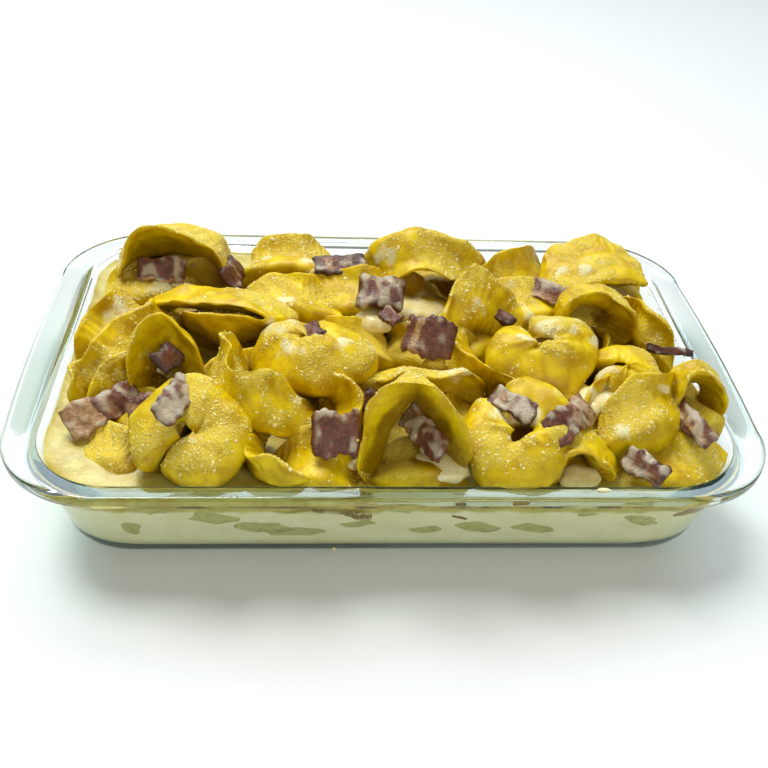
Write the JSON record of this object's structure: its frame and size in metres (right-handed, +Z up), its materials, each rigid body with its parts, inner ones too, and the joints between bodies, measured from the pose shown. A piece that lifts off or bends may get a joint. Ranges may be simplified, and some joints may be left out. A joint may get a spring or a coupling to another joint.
{
  "type": "tortellini in a baking dish",
  "caption": "Clear glass baking dish filled with large stuffed tortellini, slices of bacon and cream sauce.",
  "frame": {"origin": "middle of the dish's underside", "axes": "+X along the dish, +Y from its front to its back, +Z up"},
  "size_m": [0.2696, 0.1746, 0.0732],
  "materials": {
    "clear_glass": "smooth pressed glass, faintly teal where it is thick",
    "cream": "glossy thin cream, pale yellow",
    "egg_pasta": "moist egg pasta, bright yellow with grated cheese on it",
    "cooked_bacon": "lean and fat in stripes, with cream on it"
  },
  "bodies": {
    "root": {"glass_dish": "clear_glass", "cream_sauce": "cream", "tortellino_08": "egg_pasta", "tortellino_14": "egg_pasta", "tortellino_10": "egg_pasta", "tortellino_01": "egg_pasta", "tortellino_13": "egg_pasta", "tortellino_03": "egg_pasta", "tortellino_06": "egg_pasta", "tortellino_11": "egg_pasta", "tortellino_26": "egg_pasta", "tortellino_23": "egg_pasta", "tortellino_22": "egg_pasta", "tortellino_27": "egg_pasta", "tortellino_19": "egg_pasta", "tortellino_34": "egg_pasta", "tortellino_18": "egg_pasta", "tortellino_15": "egg_pasta", "tortellino_16": "egg_pasta", "tortellino_17": "egg_pasta", "tortellino_07": "egg_pasta", "tortellino_12": "egg_pasta", "tortellino_24": "egg_pasta", "tortellino_25": "egg_pasta", "tortellino_29": "egg_pasta", "tortellino_36": "egg_pasta", "tortellino_20": "egg_pasta", "tortellino_35": "egg_pasta", "tortellino_30": "egg_pasta", "tortellino_04": "egg_pasta", "tortellino_02": "egg_pasta", "tortellino_05": "egg_pasta", "tortellino_09": "egg_pasta", "tortellino_32": "egg_pasta", "tortellino_33": "egg_pasta", "tortellino_31": "egg_pasta", "tortellino_21": "egg_pasta", "tortellino_28": "egg_pasta", "bacon_01": "cooked_bacon", "bacon_02": "cooked_bacon", "bacon_03": "cooked_bacon", "bacon_04": "cooked_bacon", "bacon_05": "cooked_bacon", "bacon_06": "cooked_bacon", "bacon_07": "cooked_bacon", "bacon_08": "cooked_bacon", "bacon_09": "cooked_bacon", "bacon_10": "cooked_bacon", "bacon_11": "cooked_bacon", "bacon_12": "cooked_bacon", "bacon_13": "cooked_bacon", "bacon_14": "cooked_bacon", "bacon_15": "cooked_bacon", "bacon_16": "cooked_bacon", "bacon_17": "cooked_bacon", "bacon_18": "cooked_bacon", "bacon_19": "cooked_bacon", "bacon_20": "cooked_bacon", "bacon_21": "cooked_bacon", "bacon_22": "cooked_bacon"}
  },
  "joints": []
}
